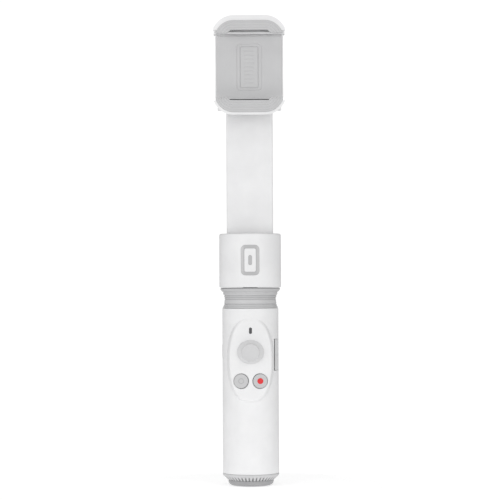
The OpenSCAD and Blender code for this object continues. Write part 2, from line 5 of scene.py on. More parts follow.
import bmesh
import bpy
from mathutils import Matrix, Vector


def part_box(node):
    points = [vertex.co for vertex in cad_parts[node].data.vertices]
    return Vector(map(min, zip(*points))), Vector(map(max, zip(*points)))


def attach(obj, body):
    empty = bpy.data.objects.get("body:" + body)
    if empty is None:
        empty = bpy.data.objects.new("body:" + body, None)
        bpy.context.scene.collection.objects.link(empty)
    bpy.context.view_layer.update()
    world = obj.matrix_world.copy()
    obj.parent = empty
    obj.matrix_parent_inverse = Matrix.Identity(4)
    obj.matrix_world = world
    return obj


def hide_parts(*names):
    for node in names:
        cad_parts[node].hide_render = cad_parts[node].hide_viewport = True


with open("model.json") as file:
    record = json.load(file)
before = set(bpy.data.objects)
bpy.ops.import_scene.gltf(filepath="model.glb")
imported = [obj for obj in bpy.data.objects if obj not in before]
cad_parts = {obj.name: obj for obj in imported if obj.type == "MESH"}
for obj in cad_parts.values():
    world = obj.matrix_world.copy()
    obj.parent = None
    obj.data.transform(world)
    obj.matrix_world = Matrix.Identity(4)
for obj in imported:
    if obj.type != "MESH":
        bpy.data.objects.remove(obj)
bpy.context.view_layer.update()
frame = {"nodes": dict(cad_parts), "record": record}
MM = 0.001
NODES = frame["nodes"]


# ---------------------------------------------------------------- sizes: from the CAD boxes, then listed
def size(node):
    """The low and high corner of a node's box, in millimetres."""
    low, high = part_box(node)
    return [v / MM for v in low], [v / MM for v in high]


TUBE_LOW, TUBE_HIGH = size("handle_tube")
PANEL_LOW, PANEL_HIGH = size("control_panel")
COLLAR_LOW, COLLAR_HIGH = size("collar_shell")
NECK_LOW, NECK_HIGH = size("neck_sleeve")
RING_HIGH = size("base_ring")[1]
CAP_HIGH = size("base_cap")[1]
ARM_LOW, ARM_HIGH = size("arm_front_shell")
ARM_BACK_LOW, ARM_BACK_HIGH = size("arm_back_shell")
JAW_HIGH = size("upper_jaw")[1]
BODY_LOW, BODY_HIGH = size("clamp_body")
PAD_LOW, PAD_HIGH = size("clamp_pad")
HANDLE_R = TUBE_HIGH[0]
BORE_R = HANDLE_R - 1.6
TEETH, TOOTH_DEPTH = 44, 0.85
FOOT_R, FOOT_Z, BAND_Z = 13.9, 3.4, 6.1
INSERT_R, SCREW_CIRCLE = 5.05, 9
PANEL_Z = (PANEL_LOW[2] + PANEL_HIGH[2]) / 2
PANEL_FRONT = 17.5
PANEL_CURVE = 40.0
PANEL_TILT = math.radians(1.4)
JOY = (0.0, -9.4, 80.0)
SKIRT_R = 10.62
BUTTON_X, BUTTON_Z, LED_Z = 5.7, 63.0, 92.8
ROLL_Z, GLYPH_Z = 250.0, 134.6
ROCKER_ANGLE, ROCKER_Z = -20, 78.2
SIDE_ANGLE, POWER_Z, PORT_Z = 168, 80, 58
# windows in the tube: left edge, right edge, half height and corner
ROCKER_WINDOW = (-6, 2.15, 9.45, 0.2)
POWER_WINDOW = (-2.15, 2.15, 5.15, 2.0)
PORT_WINDOW = (-1.75, 1.75, 4.65, 1.6)
ROCKER_BACK_X = 14.06


# ---------------------------------------------------------------- node materials
def new_material(name):
    """A material with one shader, and what it is built with."""
    mat = bpy.data.materials.new(name)
    mat.use_nodes = True
    nodes, links = mat.node_tree.nodes, mat.node_tree.links
    nodes.clear()
    out = nodes.new("ShaderNodeOutputMaterial")
    shader = nodes.new("ShaderNodeBsdfPrincipled")
    links.new(shader.outputs[0], out.inputs[0])
    return mat, nodes, links, shader


def worked(nodes, links, kind, operation, *given):
    """A maths node; each thing given is a socket or a value."""
    node = nodes.new("ShaderNode" + kind)
    node.operation = operation
    for socket, value in zip(node.inputs, given):
        if isinstance(value, bpy.types.NodeSocket):
            links.new(value, socket)
        else:
            socket.default_value = value
    return node


def scaled(nodes, links, colour, share):
    node = worked(nodes, links, "VectorMath", "SCALE", colour)
    links.new(share, node.inputs["Scale"])
    return node.outputs[0]


def height_of(nodes, links, coord):
    parts = nodes.new("ShaderNodeSeparateXYZ")
    links.new(coord.outputs["Object"], parts.inputs[0])
    return parts.outputs["Z"]


def noise(nodes, links, coord, scale, detail=3.0, rough=0.5, stretch=(1, 1, 1)):
    mapping = nodes.new("ShaderNodeMapping")
    mapping.inputs["Scale"].default_value = stretch
    links.new(coord.outputs["Object"], mapping.inputs["Vector"])
    tex = nodes.new("ShaderNodeTexNoise")
    tex.inputs["Scale"].default_value = scale
    tex.inputs["Detail"].default_value = detail
    tex.inputs["Roughness"].default_value = rough
    links.new(mapping.outputs[0], tex.inputs["Vector"])
    return tex.outputs["Fac"]


def spread(nodes, links, value, low, high):
    """The middle of a noise stretched over low to high."""
    rng = nodes.new("ShaderNodeMapRange")
    rng.inputs["From Min"].default_value = 0.3
    rng.inputs["From Max"].default_value = 0.7
    rng.inputs["To Min"].default_value = low
    rng.inputs["To Max"].default_value = high
    links.new(value, rng.inputs["Value"])
    return rng.outputs["Result"]


def tint(nodes, links, value, dark, light):
    """A colour between dark and light, chosen by a noise."""
    ramp = nodes.new("ShaderNodeValToRGB")
    ramp.color_ramp.elements[0].position = 0.32
    ramp.color_ramp.elements[1].position = 0.68
    ramp.color_ramp.elements[0].color = (*dark, 1)
    ramp.color_ramp.elements[1].color = (*light, 1)
    links.new(value, ramp.inputs[0])
    return ramp.outputs[0]


def bump(nodes, links, shader, value, strength, distance):
    node = nodes.new("ShaderNodeBump")
    node.inputs["Strength"].default_value = strength
    node.inputs["Distance"].default_value = distance
    links.new(value, node.inputs["Height"])
    links.new(node.outputs[0], shader.inputs["Normal"])


def painted_light_at_ends(nodes, links, coord, colour, middle, half, gain):
    """The colour with painted light, lighter towards both ends of a part that reaches half above and below a
    middle height.
    """
    offset = worked(nodes, links, "Math", "SUBTRACT", height_of(nodes, links, coord), middle)
    away = worked(nodes, links, "Math", "ABSOLUTE", offset.outputs[0])
    share = nodes.new("ShaderNodeMapRange")
    share.interpolation_type = "SMOOTHSTEP"
    share.inputs["From Min"].default_value = 0.55 * half
    share.inputs["From Max"].default_value = half
    share.inputs["To Min"].default_value = 1.0
    share.inputs["To Max"].default_value = gain
    links.new(away.outputs[0], share.inputs["Value"])
    return scaled(nodes, links, colour, share.outputs["Result"])


def painted_shade_in_gaps(nodes, links, coord, colour, low, slope, limit, share):
    """The colour with painted shade, darker inside a cone about the Z axis (radius low at height 0) that ends
    in a tube.
    """
    flat = worked(nodes, links, "VectorMath", "MULTIPLY", coord.outputs["Object"], (1, 1, 0))
    radius = worked(nodes, links, "VectorMath", "LENGTH", flat.outputs[0])
    cone = worked(nodes, links, "Math", "MULTIPLY_ADD", height_of(nodes, links, coord), slope, low)
    outer = worked(nodes, links, "Math", "MINIMUM", cone.outputs[0], limit)
    depth = worked(nodes, links, "Math", "SUBTRACT", outer.outputs[0], radius.outputs["Value"])
    shade = nodes.new("ShaderNodeMapRange")
    shade.inputs["From Min"].default_value = 0.00008
    shade.inputs["From Max"].default_value = 0.0005
    shade.inputs["To Min"].default_value = 1.0
    shade.inputs["To Max"].default_value = share
    links.new(depth.outputs[0], shade.inputs["Value"])
    return scaled(nodes, links, colour, shade.outputs["Result"])


def moulded(name, dark, light, rough, grain, depth, coat=0.0, soft=0.0, ends=None, gaps=None):
    """Moulded plastic or rubber: faint mottling, uneven gloss and a fine spark-eroded grain."""
    mat, nodes, links, shader = new_material(name)
    coord = nodes.new("ShaderNodeTexCoord")
    colour = tint(nodes, links, noise(nodes, links, coord, 95, 4), dark, light)
    # painted light: lighter towards both ends of the part
    if ends:
        colour = painted_light_at_ends(nodes, links, coord, colour, **ends)
    # painted shade: darker in the gaps between the ring's teeth
    if gaps:
        colour = painted_shade_in_gaps(nodes, links, coord, colour, **gaps)
    links.new(colour, shader.inputs["Base Color"])
    gloss = noise(nodes, links, coord, 260, 3)
    links.new(spread(nodes, links, gloss, *rough), shader.inputs["Roughness"])
    bump(nodes, links, shader, noise(nodes, links, coord, grain, 2, 0.6), depth, 0.00004)
    shader.inputs["Coat Weight"].default_value = coat
    shader.inputs["Coat Roughness"].default_value = 0.12
    shader.inputs["Subsurface Weight"].default_value = soft
    shader.inputs["Subsurface Radius"].default_value = (1.0, 0.95, 0.9)
    shader.inputs["Subsurface Scale"].default_value = 0.0006
    return mat


def metal(name, dark, light, rough, stretch):
    """Turned or brushed metal: fine scratches along one way and uneven gloss."""
    mat, nodes, links, shader = new_material(name)
    coord = nodes.new("ShaderNodeTexCoord")
    lines = noise(nodes, links, coord, 900, 4, 0.6, stretch)
    links.new(tint(nodes, links, lines, dark, light), shader.inputs["Base Color"])
    links.new(spread(nodes, links, lines, *rough), shader.inputs["Roughness"])
    bump(nodes, links, shader, lines, 0.15, 0.00002)
    shader.inputs["Metallic"].default_value = 1.0
    return mat


def board(name):
    """Circuit board lacquer with faint traces."""
    mat, nodes, links, shader = new_material(name)
    coord = nodes.new("ShaderNodeTexCoord")
    wave = nodes.new("ShaderNodeTexVoronoi")
    wave.distance = "MANHATTAN"
    wave.inputs["Scale"].default_value = 420
    links.new(coord.outputs["Object"], wave.inputs["Vector"])
    links.new(tint(nodes, links, wave.outputs["Distance"], (0.02, 0.13, 0.06), (0.05, 0.24, 0.11)),
              shader.inputs["Base Color"])
    bump(nodes, links, shader, wave.outputs["Distance"], 0.2, 0.00003)
    shader.inputs["Roughness"].default_value = 0.35
    return mat


def winding(name):
    """Enamelled copper wire laid side by side."""
    mat, nodes, links, shader = new_material(name)
    coord = nodes.new("ShaderNodeTexCoord")
    wave = nodes.new("ShaderNodeTexWave")
    wave.bands_direction = "DIAGONAL"
    wave.inputs["Scale"].default_value = 900
    wave.inputs["Distortion"].default_value = 1.5
    links.new(coord.outputs["Object"], wave.inputs["Vector"])
    links.new(tint(nodes, links, wave.outputs["Fac"], (0.30, 0.11, 0.04), (0.68, 0.30, 0.12)),
              shader.inputs["Base Color"])
    bump(nodes, links, shader, wave.outputs["Fac"], 0.5, 0.00006)
    shader.inputs["Metallic"].default_value = 0.8
    shader.inputs["Roughness"].default_value = 0.3
    return mat


def grey(v):
    """A very slightly cool grey."""
    return (v, v, v + 0.006)


# painted light, lighter towards the pad's ends; painted shade, darker between the ring's teeth, inside the
# cone of its chamfer
PAD_PAINTED_LIGHT = {"middle": 0.2475, "half": 0.02, "gain": 1.1}
RING_SLOPE = (HANDLE_R - FOOT_R) / (BAND_Z - FOOT_Z)
RING_PAINTED_SHADE = {"low": (FOOT_R - RING_SLOPE * FOOT_Z) * MM, "slope": RING_SLOPE, "limit": HANDLE_R * MM,
             "share": 0.5}
MATERIALS = {
    "white_plastic": moulded("white_satin_plastic", grey(0.80), grey(0.84),
                             (0.34, 0.44), 2600, 0.2, soft=0.05),
    "grey_plastic": moulded("grey_satin_plastic", grey(0.46), grey(0.52), (0.38, 0.5), 2400, 0.3),
    "dark_grey_plastic": moulded("dark_grey_plastic", grey(0.32), grey(0.36), (0.42, 0.55), 2200, 0.35),
    "black_plastic": moulded("black_plastic", grey(0.02), grey(0.035), (0.4, 0.55), 2200, 0.35),
    "grey_gloss": moulded("grey_gloss_inlay", grey(0.44), grey(0.47), (0.12, 0.2), 2800, 0.05, coat=0.4),
    "grey_rubber": moulded("grey_silicone_rubber", grey(0.54), grey(0.565),
                           (0.55, 0.68), 3200, 0.5, soft=0.04),
    "red_plastic": moulded("red_dot_plastic", (0.62, 0.004, 0.008), (0.78, 0.01, 0.015),
                           (0.2, 0.3), 2600, 0.08, coat=0.3),
    "status_window": moulded("smoked_light_window", grey(0.035), grey(0.05),
                             (0.1, 0.18), 2600, 0.04, coat=0.5),
    "battery_wrap": moulded("battery_wrap", (0.05, 0.08, 0.12), (0.07, 0.1, 0.15), (0.25, 0.4), 1500, 0.2),
    "cable_film": moulded("cable_film", (0.5, 0.25, 0.05), (0.6, 0.32, 0.08),
                          (0.15, 0.25), 1800, 0.1, coat=0.3),
    "aluminium": metal("anodised_aluminium", grey(0.60), grey(0.72), (0.28, 0.4), (1, 1, 0.06)),
    "steel": metal("brushed_steel", grey(0.42), grey(0.6), (0.22, 0.36), (1, 0.1, 1)),
    "brass_insert": metal("turned_brass", (0.5, 0.36, 0.12), (0.7, 0.52, 0.2), (0.22, 0.35), (1, 1, 0.1)),
    "pale_plastic": moulded("pale_grey_plastic", grey(0.67), grey(0.71), (0.4, 0.5), 2400, 0.25),
    "pale_rubber": moulded("pale_grey_rubber", grey(0.69), grey(0.72), (0.5, 0.62), 3200, 0.4, soft=0.04),
    "neck_rubber": moulded("satin_grey_rubber", grey(0.55), grey(0.58), (0.3, 0.38), 3200, 0.2, soft=0.04),
    # painted light: the pad's colour lighter towards its ends, next to the jaws
    "pad_rubber_painted_light": moulded("pad_rubber_painted_light", grey(0.55), grey(0.57),
                          (0.55, 0.68), 3200, 0.4, soft=0.04, ends=PAD_PAINTED_LIGHT),
    # painted shade: the ring's colour darker between its teeth
    "ring_plastic_painted_shade": moulded("ring_grey_plastic_painted_shade", grey(0.56), grey(0.60),
                            (0.38, 0.5), 2400, 0.3, gaps=RING_PAINTED_SHADE),
    "cap_rubber": moulded("cap_grey_rubber", grey(0.61), grey(0.64), (0.5, 0.62), 3200, 0.4, soft=0.04),
    "faint_print": moulded("faint_grey_print", grey(0.44), grey(0.48), (0.5, 0.6), 3200, 0.3),
    "circuit_board": board("circuit_board"),
    "copper_winding": winding("copper_winding"),
}
SLOT_OF = {row["node"]: row["material_slot"] for row in frame["record"]["subparts"]}
LOOK_OF = {"base_ring": "ring_plastic_painted_shade", "neck_core": "dark_grey_plastic", "neck_sleeve": "neck_rubber",
           "clamp_pad": "pad_rubber_painted_light", "zoom_rocker": "pale_plastic", "joystick_skirt": "pale_rubber",
           "joystick_cap": "cap_rubber", "mode_symbol": "faint_print"}
BODY_OF = {n: b for b, members in frame["record"]["behaviour"]["bodies"].items() for n in members}


# ---------------------------------------------------------------- mesh helpers
def rounded(points, radii, steps=5):
    """A 2D path with each corner replaced by an arc of its radius (0 keeps it sharp)."""
    out, n = [], len(points)
    for i, (p, r) in enumerate(zip(points, radii)):
        p = Vector(p)
        if r <= 0:
            out.append(p)
            continue
        a, b = Vector(points[i - 1]) - p, Vector(points[(i + 1) % n]) - p
        a.normalize()
        b.normalize()
        half = math.acos(max(-1, min(1, a.dot(b)))) / 2
        if half > math.radians(89.5):
            out.append(p)
            continue
        reach = r / math.tan(half)
        start, end = p + a * reach, p + b * reach
        centre = p + (a + b).normalized() * (r / math.sin(half))
        v0, v1 = start - centre, end - centre
        turn = v0.angle_signed(v1)
        for k in range(steps + 1):
            t = turn * k / steps
            c, s = math.cos(-t), math.sin(-t)
            out.append(centre + Vector((v0.x * c - v0.y * s, v0.x * s + v0.y * c)))
    return out


def rectangle(x0, x1, z0, z1, corner, steps):
    """A rectangle's outline with the same arc at each corner."""
    return rounded([(x0, z0), (x1, z0), (x1, z1), (x0, z1)], [corner] * 4, steps)


def centred_rectangle(w, h, corner, z, steps):
    """A rectangle's outline about the middle plane and the height z."""
    return [(p[0], p[1] + z) for p in rectangle(-w / 2, w / 2, -h / 2, h / 2, corner, steps)]


def lathe(path, steps=128, axis="z", centre=(0, 0, 0), ripple=None):
    """Turns a closed (radius, height) path about an axis. ripple(angle, r, h) may change the radius."""
    bm = bmesh.new()
    rings = []
    for r, h in path:
        if r < 1e-6:
            rings.append([bm.verts.new((0, 0, h))])
            continue
        ring = []
        for k in range(steps):
            a = 2 * math.pi * k / steps
            rr = r if ripple is None else ripple(a, r, h)
            ring.append(bm.verts.new((rr * math.cos(a), rr * math.sin(a), h)))
        rings.append(ring)
    for i in range(len(rings)):
        a, b = rings[i], rings[(i + 1) % len(rings)]
        if len(a) == 1 and len(b) == 1:
            continue
        for k in range(steps):
            m = (k + 1) % steps
            quad = [a[k % len(a)], a[m % len(a)], b[m % len(b)], b[k % len(b)]]
            quad = list(dict.fromkeys(quad))
            if len(quad) > 2:
                bm.faces.new(quad)
    for v in bm.verts:
        x, y, z = v.co
        if axis == "-y":
            v.co = (x, -z, y)
        v.co = (v.co + Vector(centre)) * MM
    bmesh.ops.recalc_face_normals(bm, faces=bm.faces)
    return bm


def inset(path, d):
    """The closed path moved inwards by d (it runs anticlockwise)."""
    out, n = [], len(path)
    for i in range(n):
        a, p, b = (Vector(path[(i + k) % n]) for k in (-1, 0, 1))
        u, v = (p - a), (b - p)
        if u.length < 1e-9 or v.length < 1e-9:
            out.append(p)
            continue
        u.normalize()
        v.normalize()
        nu, nv = Vector((-u.y, u.x)), Vector((-v.y, v.x))
        m = (nu + nv)
        m = m / max(m.length_squared / 2, 0.2)
        out.append(p + m * d)
    return out


def prism(path, y0, y1, front=0.4, back=0.4, steps=4):
    """A plate in X and Z from y0 (front) to y1 (back), its front and back edges rounded."""
    bm = bmesh.new()
    layers = []
    for k in range(steps + 1):
        t = math.pi / 2 * k / steps
        layers.append((front * (1 - math.sin(t)), y0 + front * (1 - math.cos(t))))
    for k in range(steps + 1):
        t = math.pi / 2 * k / steps
        layers.append((back * (1 - math.cos(t)), y1 - back * (1 - math.sin(t))))
    rings = [[bm.verts.new((p[0] * MM, y * MM, p[1] * MM)) for p in inset(path, d)] for d, y in layers]
    n = len(path)
    for a, b in zip(rings, rings[1:]):
        for k in range(n):
            m = (k + 1) % n
            bm.faces.new((a[k], a[m], b[m], b[k]))
    bm.faces.new(rings[0])
    bm.faces.new(list(reversed(rings[-1])))
    bmesh.ops.recalc_face_normals(bm, faces=bm.faces)
    return bm


def sharp_prism(path, y0, y1):
    """A plate in X and Z with sharp edges."""
    return prism(path, y0, y1, 0, 0, 1)


def box_mesh(x0, x1, y0, y1, z0, z1):
    """A sharp block between three pairs of coordinates."""
    return sharp_prism([(x0, z0), (x1, z0), (x1, z1), (x0, z1)], y0, y1)


def as_object(name, bm):
    """The mesh as an object in the scene; bm is used up."""
    mesh = bpy.data.meshes.new(name)
    bmesh.ops.remove_doubles(bm, verts=bm.verts, dist=1e-7)
    bmesh.ops.dissolve_degenerate(bm, edges=bm.edges, dist=1e-7)
    bm.to_mesh(mesh)
    bm.free()
    obj = bpy.data.objects.new(name, mesh)
    bpy.context.scene.collection.objects.link(obj)
    return obj


def settle(obj):
    """Turns the object's modifiers into its mesh."""
    graph = bpy.context.evaluated_depsgraph_get()
    graph.update()
    mesh = bpy.data.meshes.new_from_object(obj.evaluated_get(graph))
    obj.modifiers.clear()
    obj.data = mesh


def merge(obj, other, operation):
    """Joins the other object to the first, cuts it away or keeps what both share; the other is used up."""
    mod = obj.modifiers.new("combine", "BOOLEAN")
    mod.operation = operation
    mod.solver = "EXACT"
    mod.object = other
    settle(obj)
    bpy.data.objects.remove(other)


def combine(obj, bm, operation):
    """Merges the object with a mesh."""
    merge(obj, as_object("tool", bm), operation)


def add_mesh(bm, other):
    """Adds the other mesh's faces to bm as they are."""
    mesh = bpy.data.meshes.new("part")
    other.to_mesh(mesh)
    other.free()
    bm.from_mesh(mesh)
    bpy.data.meshes.remove(mesh)


def soften(obj, width):
    """Rounds the object's edges."""
    mod = obj.modifiers.new("round", "BEVEL")
    mod.width = width * MM
    mod.segments = 3
    mod.limit_method = "ANGLE"
    mod.angle_limit = math.radians(35)
    mod.use_clamp_overlap = True
    settle(obj)


def paint(obj, node, smooth):
    """Gives the object its node's look, sharp where its faces meet at more than the angle."""
    obj.data.materials.clear()
    obj.data.materials.append(MATERIALS[LOOK_OF.get(node, SLOT_OF[node])])
    obj.data.shade_smooth()
    obj.data.set_sharp_from_angle(angle=math.radians(smooth))


def finish_piece(obj, node, smooth=40):
    """Paints the piece, gives it its node's body, and lets it stand for the node."""
    paint(obj, node, smooth)
    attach(obj, BODY_OF[node])
    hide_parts(node)


# ---------------------------------------------------------------- base and handle
def panel_path(grow=0.0):
    """The panel's oval outline, a little squarer than an ellipse, larger all round by grow."""
    out, n, e = [], 144, 2 / 2.4
    for k in range(n):
        a = 2 * math.pi * k / n
        c, s = math.cos(a), math.sin(a)
        out.append(((PANEL_HIGH[0] + grow) * math.copysign(abs(c) ** e, c),
                    PANEL_Z + ((PANEL_HIGH[2] - PANEL_LOW[2]) / 2 + grow) * math.copysign(abs(s) ** e, s)))
    return out


def panel_face(x, z):
    """Y of the panel's front at x, z."""
    lean = (z - PANEL_Z) * math.tan(PANEL_TILT)
    return -PANEL_FRONT + lean + PANEL_CURVE - math.sqrt(PANEL_CURVE ** 2 - x * x)


def base_cap():
    """The plate below the ring, with three screw holes round the seat of the tripod thread's insert."""
    r = CAP_HIGH[0]
    path = rounded([(INSERT_R, 0), (r, 0), (r, CAP_HIGH[2]), (INSERT_R, CAP_HIGH[2])], [0.1, 2.7, 0.1, 0], 10)
    obj = as_object("base_cap_skin", lathe(path, 160))
    for k in range(3):
        a = math.radians(90 + 120 * k)
        hole = [(0, -1), (1.95, -1), (1.75, 0.25), (1.75, 1.4), (0, 1.4)]
        place = (SCREW_CIRCLE * math.cos(a), SCREW_CIRCLE * math.sin(a), 0)
        combine(obj, lathe(hole, 32, centre=place), "DIFFERENCE")
    finish_piece(obj, "base_cap")


def base_ring():
    """Teeth on the chamfer, deepest at its lower edge and fading towards the plain band."""
    r = HANDLE_R
    low, high, top = FOOT_Z, BAND_Z, RING_HIGH[2] - 3.7

    def teeth(a, rr, h):
        if not low - 0.01 < h < high or rr < 13:
            return rr
        t = (h - low) / (high - low)
        gap = max(0.0, min(1.0, -2 * math.cos(TEETH * a)))
        return rr - TOOTH_DEPTH * min(1, 1.3 * (1 - t)) ** 0.8 * gap

    chamfer = [(FOOT_R + (r - FOOT_R) * k / 14, low + (high - low) * k / 14) for k in range(15)]
    band = rounded([(r, high), (r, top), (BORE_R - 0.1, top)], [0, 0.15, 0], 3)
    inside = [(BORE_R - 0.1, 11), (BORE_R - 1.3, 11), (BORE_R - 1.3, 7.3), (INSERT_R, 7.3)]
    path = [(INSERT_R, low)] + chamfer + band[1:] + inside
    obj = as_object("base_ring_skin", lathe(path, TEETH * 20, ripple=teeth))
    finish_piece(obj, "base_ring", smooth=50)


def side_opening(angle, z, low, high, half_h, corner):
    """A block that cuts a window into the tube's wall, turned to the given angle."""
    tool = sharp_prism(rectangle(low, high, -half_h, half_h, corner, 6), -20, -12)
    turn = math.radians(angle + 90)
    for v in tool.verts:
        x, y = v.co.x, v.co.y
        v.co.x = x * math.cos(turn) - y * math.sin(turn)
        v.co.y = x * math.sin(turn) + y * math.cos(turn)
        v.co.z += z * MM
    return tool


def handle_tube():
    """The white tube, open for the panel, the power button, the port and the rocker."""
    z0, z1 = TUBE_LOW[2], TUBE_HIGH[2]
    path = rounded([(BORE_R, z0), (HANDLE_R, z0), (HANDLE_R, z1), (BORE_R, z1)], [0.1, 0.2, 0.45, 0.2], 5)
    stops = [(HANDLE_R, z0 + 0.3 + (z1 - z0 - 0.9) * k / 59) for k in range(60)]
    first = next(i for i, p in enumerate(path) if p[0] > HANDLE_R - 0.001)
    obj = as_object("handle_tube_skin", lathe(path[:first + 1] + stops + path[first + 1:], 192))
    combine(obj, sharp_prism(panel_path(-0.3), -30, -2), "DIFFERENCE")
    combine(obj, side_opening(SIDE_ANGLE, POWER_Z, *POWER_WINDOW), "DIFFERENCE")
    combine(obj, side_opening(SIDE_ANGLE, PORT_Z, *PORT_WINDOW), "DIFFERENCE")
    rocker = as_object("tool", side_opening(ROCKER_ANGLE, ROCKER_Z, *ROCKER_WINDOW))
    combine(rocker, box_mesh(ROCKER_BACK_X, 20, -12, 0, 60, 100), "INTERSECT")
    merge(obj, rocker, "DIFFERENCE")
    finish_piece(obj, "handle_tube", smooth=30)


def control_panel():
    """A shell that swells out of the tube's surface without a seam, flush with it at the top."""
    bm = bmesh.new()
    swell, wall, outline = 2.0, 1.6, panel_path()
    n = len(outline)
    centre = Vector((0, PANEL_Z))

    def ring(path, y_of):
        return [bm.verts.new((p[0] * MM, y_of(p[0], p[1]) * MM, p[1] * MM)) for p in path]

    def seat(x, z):
        return -math.sqrt(max((BORE_R + 0.1) ** 2 - x * x, 0))

    def risen(depth):
        t = min(depth / swell, 1)
        share = 1 - (1 - 1.16 * t * t / (t + 0.16)) ** 2.2
        sunk = 0.04 * max(0.0, 1 - depth / 0.3)

        def y_of(x, z):
            tube = -math.sqrt(max(HANDLE_R ** 2 - x * x, 0))
            return tube + min(panel_face(x, z) - tube, 0.0) * share + sunk
        return y_of

    rings = [ring(outline, seat)]
    steps = 14
    for k in range(steps + 1):
        depth = swell * k / steps
        rings.append(ring(inset(outline, depth), risen(depth)))
    base = inset(outline, swell)
    for k in range(1, 13):
        rings.append(ring([centre + (Vector(p) - centre) * (1 - k / 12.5) for p in base], risen(swell)))
    inner = inset(outline, wall + 0.3)
    back = [ring([centre + (Vector(p) - centre) * (k / 12) for p in inner],
                 lambda x, z: min(panel_face(x, z) + wall, seat(x, z))) for k in range(1, 13)]
    back.append(ring(inner, seat))
    for group in (rings, back):
        for a, b in zip(group, group[1:]):
            for k in range(n):
                m = (k + 1) % n
                bm.faces.new((a[k], a[m], b[m], b[k]))
    bm.faces.new(rings[-1])
    bm.faces.new(back[0])
    for k in range(n):
        m = (k + 1) % n
        bm.faces.new((rings[0][k], rings[0][m], back[-1][m], back[-1][k]))
    bmesh.ops.recalc_face_normals(bm, faces=bm.faces)
    obj = as_object("control_panel_skin", bm)
    cup = SKIRT_R + 0.08
    ball = [(cup * math.sin(math.pi * k / 48), -cup * math.cos(math.pi * k / 48)) for k in range(49)]
    combine(obj, lathe(ball, 96, "-y", JOY), "DIFFERENCE")
    for s in (-1, 1):
        face = -panel_face(s * BUTTON_X, BUTTON_Z)
        hole = [(0, 10), (4.45, 10), (4.45, face - 0.5), (4.75, face + 0.1), (5.6, face + 2), (0, face + 2)]
        combine(obj, lathe(hole, 64, "-y", (s * BUTTON_X, 0, BUTTON_Z)), "DIFFERENCE")
    combine(obj, sharp_prism(centred_rectangle(1.76, 3.86, 0.87, LED_Z, 8), -20, -10), "DIFFERENCE")
    finish_piece(obj, "control_panel", smooth=38)


def led_window():
    """The dark window of the status light, rounded at both ends."""
    path = centred_rectangle(1.7, 3.8, 0.84, LED_Z, 8)
    obj = as_object("led_window_skin", prism(path, -17.0, -15.3, 0.2, 0.05))
    finish_piece(obj, "led_window")


def buttons():
    """Round caps with a soft rim and a slightly hollow top; a red dot on one, a plain ring on the other."""
    r = 4.25
    dish = [(r * k / 10, 17.42 + 0.1 * (k / 10) ** 2) for k in range(9)]
    stem = [(0, 8.5), (1.5, 8.5), (1.5, 13.8), (4.95, 13.8), (4.95, 14.45), (r, 14.45)]
    rim = rounded([(r, 14.45), (r, 17.55), (3.4, 17.5)], [0, 0.4, 0], 6)[1:-1]
    for name, s in (("mode_button", -1), ("record_button", 1)):
        obj = as_object(name + "_skin", lathe(stem + rim + dish[::-1], 72, "-y", (s * BUTTON_X, 0, BUTTON_Z)))
        finish_piece(obj, name, smooth=45)
    dot = rounded([(0, 17.2), (1.75, 17.2), (1.75, 17.58), (0, 17.6)], [0, 0, 0.12, 0], 4)
    finish_piece(as_object("record_dot_skin", lathe(dot, 48, "-y", (BUTTON_X, 0, BUTTON_Z))), "record_dot")
    ring = rounded([(1.2, 17.25), (1.72, 17.25), (1.72, 17.5), (1.2, 17.5)], [0, 0, 0.08, 0.08], 3)
    obj = as_object("mode_symbol_skin", lathe(ring, 48, "-y", (-BUTTON_X, 0, BUTTON_Z)))
    finish_piece(obj, "mode_symbol")


def sphere(r, start, stop, step):
    """Points of a ball's outline for lathe, at angles from its front pole in degrees."""
    return [(r * math.sin(math.radians(a)), r * math.cos(math.radians(a))) for a in range(start, stop, step)]


def joystick():
    """The ball-shaped skirt and the dished cap on it."""
    outer = sphere(SKIRT_R, 8, 62, 2)
    inner = sphere(SKIRT_R - 1, 60, 8, -3)
    finish_piece(as_object("joystick_skirt_skin", lathe(outer + inner, 96, "-y", JOY)), "joystick_skirt")
    dish = [(4.5 * k / 12, 12.85 + 0.6 * (k / 12) ** 2.2) for k in range(12)]
    rim = rounded([(4.5, 13.45), (5.0, 13.6), (5.4, 13.2), (5.4, 12.3), (4.7, 11.7), (3.0, 11.6),
                   (3.0, 10.95), (1.52, 10.95)], [0, 0.3, 0.4, 0.5, 0.4, 0.3, 0, 0], 5)
    path = dish + rim + [(1.52, 12.7), (0, 12.7)]
    finish_piece(as_object("joystick_cap_skin", lathe(path, 96, "-y", JOY)), "joystick_cap", smooth=50)


# ---------------------------------------------------------------- neck and collar
def neck_sleeve():
    """A waisted sleeve; each groove has its height, half width and depth."""
    z0, z1 = NECK_LOW[2], NECK_HIGH[2]
    waist_r, waist_z, bore_r = 15.45, 111, 12.7
    grooves = ((115.5, 0.65, 0.5), (113.5, 0.3, 0.5), (112.45, 0.3, 0.5), (111.35, 0.3, 0.5),
               (108.4, 0.34, 0.5), (107.3, 0.34, 0.4))

    def side(z):
        r = waist_r + (0.05 if z < waist_z else 0.061) * (z - waist_z) ** 2
        for at, half, depth in grooves:
            r -= depth * max(0.0, 1 - ((z - at) / half) ** 2)
        return r

    count = 240
    path = [(side(z), z) for z in (z0 + (z1 - z0) * k / count for k in range(count + 1))]
    path = [(bore_r, z0)] + path + [(path[-1][0] - 0.3, z1), (bore_r, z1)]
    finish_piece(as_object("neck_sleeve_skin", lathe(path, 192)), "neck_sleeve", smooth=60)


def glyph_plate(w, h, corner, y0, y1):
    """A rounded rectangle at the collar mark's height."""
    return sharp_prism(centred_rectangle(w, h, corner, GLYPH_Z, 6), y0, y1)


